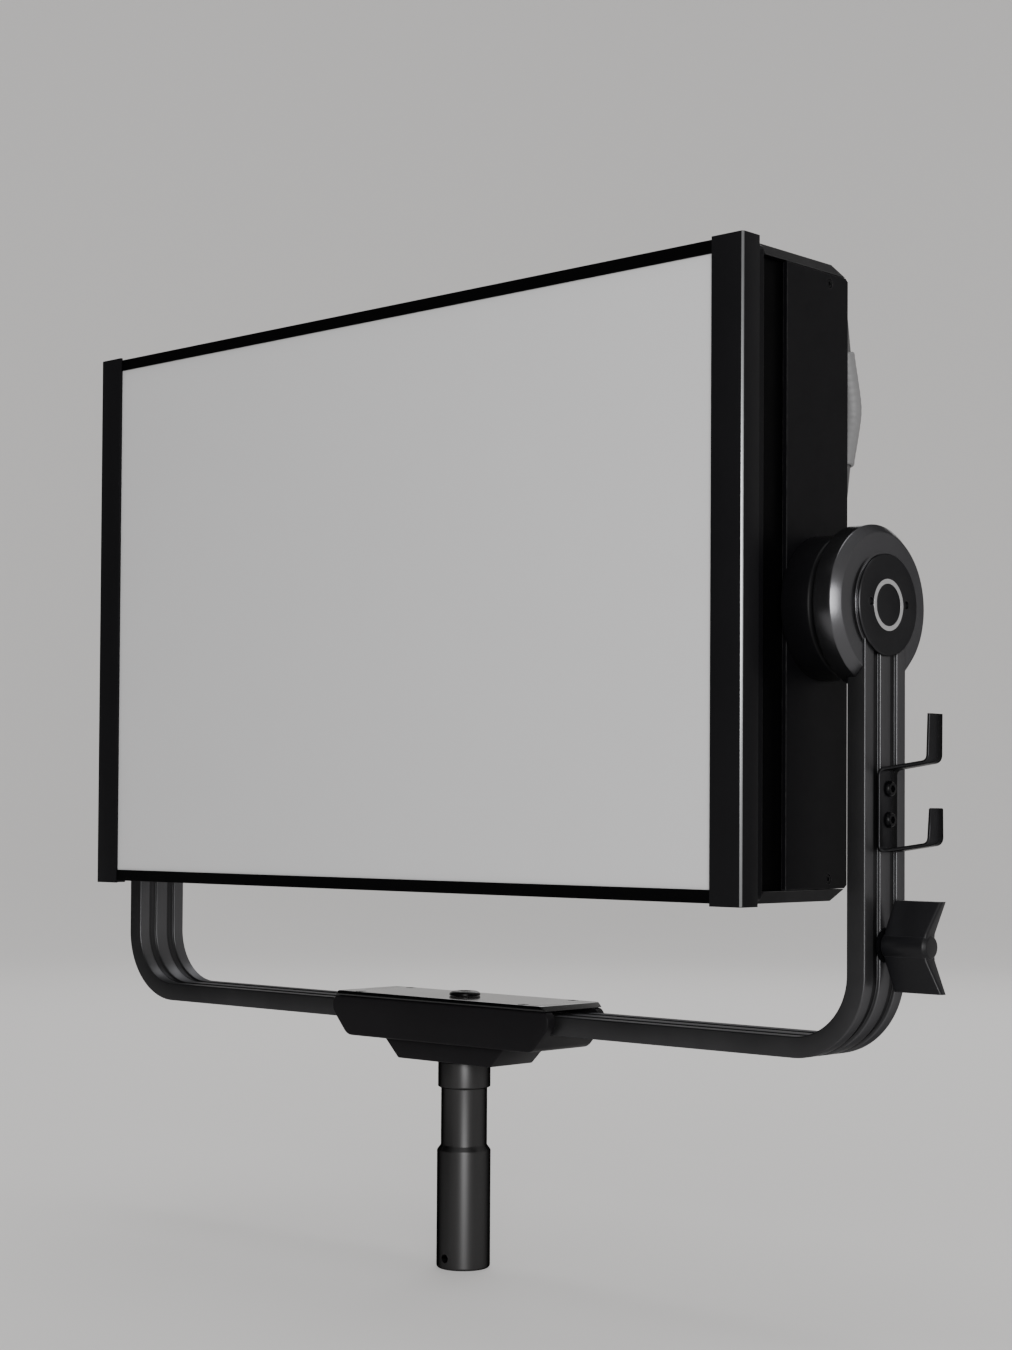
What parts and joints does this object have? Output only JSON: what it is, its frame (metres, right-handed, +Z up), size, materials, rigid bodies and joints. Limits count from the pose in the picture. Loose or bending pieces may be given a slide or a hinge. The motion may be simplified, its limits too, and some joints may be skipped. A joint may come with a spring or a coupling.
{
  "type": "led soft panel light",
  "caption": "Flat LED soft light on a U-shaped yoke that tilts, with a stand spigot, cable hooks, a wing knob, carry handles and controls on the back.",
  "frame": {"origin": "centre of the spigot's flat lower end", "axes": "+Z up along the spigot, -Y the way the light shines, +X towards the arm with the cable hooks and the wing knob"},
  "size_m": [0.5651, 0.1173, 0.504],
  "materials": {
    "bezel_black": "satin black anodised extrusion",
    "rail_black": "matt black",
    "opal_sheet": "white opal diffusing sheet",
    "frame_black": "matt black",
    "shell_black": "fine matt powder coat",
    "white_lining": "matt white",
    "circuit_board": "green solder mask",
    "bare_aluminium": "bare extruded",
    "black_screw": "black oxide",
    "zinc_steel": "zinc plated",
    "dark_anodised": "dark satin anodised",
    "cap_anodised": "dark satin anodised with a pale ring",
    "friction_washer": "dark friction fibre",
    "yoke_coating": "satin black coated aluminium",
    "bracket_black": "satin black sheet steel",
    "black_nylon": "matt moulded nylon",
    "saddle_coating": "matt black coated aluminium",
    "plate_black": "satin black",
    "spigot_black": "blackened turned steel",
    "handle_alloy": "satin",
    "soft_grip": "soft grey grip",
    "panel_black": "matt black",
    "display_glass": "dark gloss window",
    "button_grey": "matt grey",
    "inlet_plastic": "black moulded"
  },
  "bodies": {
    "yoke_frame": {"yoke": "yoke_coating", "saddle": "saddle_coating", "saddle_plate": "plate_black", "centre_bolt": "black_screw", "spigot": "spigot_black", "plate_screw_front_right": "black_screw", "plate_screw_front_left": "black_screw", "plate_screw_rear_right": "black_screw", "plate_screw_rear_left": "black_screw", "tilt_disc_right": "dark_anodised", "tilt_disc_left": "dark_anodised", "tilt_cap_right": "cap_anodised", "tilt_cap_left": "cap_anodised", "tilt_axle_right": "zinc_steel", "tilt_axle_left": "zinc_steel", "friction_washer_right": "friction_washer", "friction_washer_left": "friction_washer", "hook_bracket": "bracket_black", "hook_screw_upper": "black_screw", "hook_screw_lower": "black_screw", "knob_stud": "black_screw", "knob_nut": "black_screw", "knob_washer": "black_screw"},
    "head": {"end_bar_right": "bezel_black", "end_bar_left": "bezel_black", "rail_top": "rail_black", "rail_bottom": "rail_black", "diffuser": "opal_sheet", "front_frame": "frame_black", "chassis": "frame_black", "tilt_hub_right": "frame_black", "tilt_hub_left": "frame_black", "shell_top": "shell_black", "shell_bottom": "shell_black", "side_plate_right": "shell_black", "side_plate_left": "shell_black", "rear_cover": "shell_black", "mixing_box": "white_lining", "led_board": "circuit_board", "driver_board": "circuit_board", "control_board": "circuit_board", "heat_sink": "bare_aluminium", "power_supply": "bare_aluminium", "side_screw_right_upper": "black_screw", "side_screw_right_lower": "black_screw", "side_screw_left_upper": "black_screw", "side_screw_left_lower": "black_screw", "handle_right": "handle_alloy", "handle_left": "handle_alloy", "handle_grip_right": "soft_grip", "handle_grip_left": "soft_grip", "control_panel": "panel_black", "display_window": "display_glass", "mains_inlet": "inlet_plastic"},
    "wing_knob": {"wing_knob": "black_nylon"},
    "menu_knob": {"menu_knob": "black_nylon"},
    "level_knob": {"level_knob": "black_nylon"},
    "menu_button": {"menu_button": "button_grey"},
    "mode_button": {"mode_button": "button_grey"},
    "power_switch": {"power_switch": "button_grey"}
  },
  "joints": [
    {"name": "head_tilt", "type": "hinge", "parent": "yoke_frame", "child": "head", "pos_m": [0, 0, 0.338], "axis": [1, 0, 0], "range_deg": [-90, 90]},
    {"name": "wing_knob_turn", "type": "hinge", "parent": "yoke_frame", "child": "wing_knob", "pos_m": [0.266, 0, 0.1822], "axis": [1, 0, 0], "continuous": true},
    {"name": "menu_knob_turn", "type": "hinge", "parent": "head", "child": "menu_knob", "pos_m": [-0.026, 0.0193, 0.25], "axis": [0, 1, 0], "continuous": true},
    {"name": "level_knob_turn", "type": "hinge", "parent": "head", "child": "level_knob", "pos_m": [-0.056, 0.0193, 0.25], "axis": [0, 1, 0], "continuous": true},
    {"name": "menu_button_press", "type": "slide", "parent": "head", "child": "menu_button", "axis": [0, -1, 0], "range_m": [0, 0.0009], "stiffness_N_per_m": 400},
    {"name": "mode_button_press", "type": "slide", "parent": "head", "child": "mode_button", "axis": [0, -1, 0], "range_m": [0, 0.0009], "stiffness_N_per_m": 400},
    {"name": "power_switch_rock", "type": "hinge", "parent": "head", "child": "power_switch", "pos_m": [-0.1615, 0.0135, 0.241], "axis": [1, 0, 0], "range_deg": [-12, 0]}
  ]
}
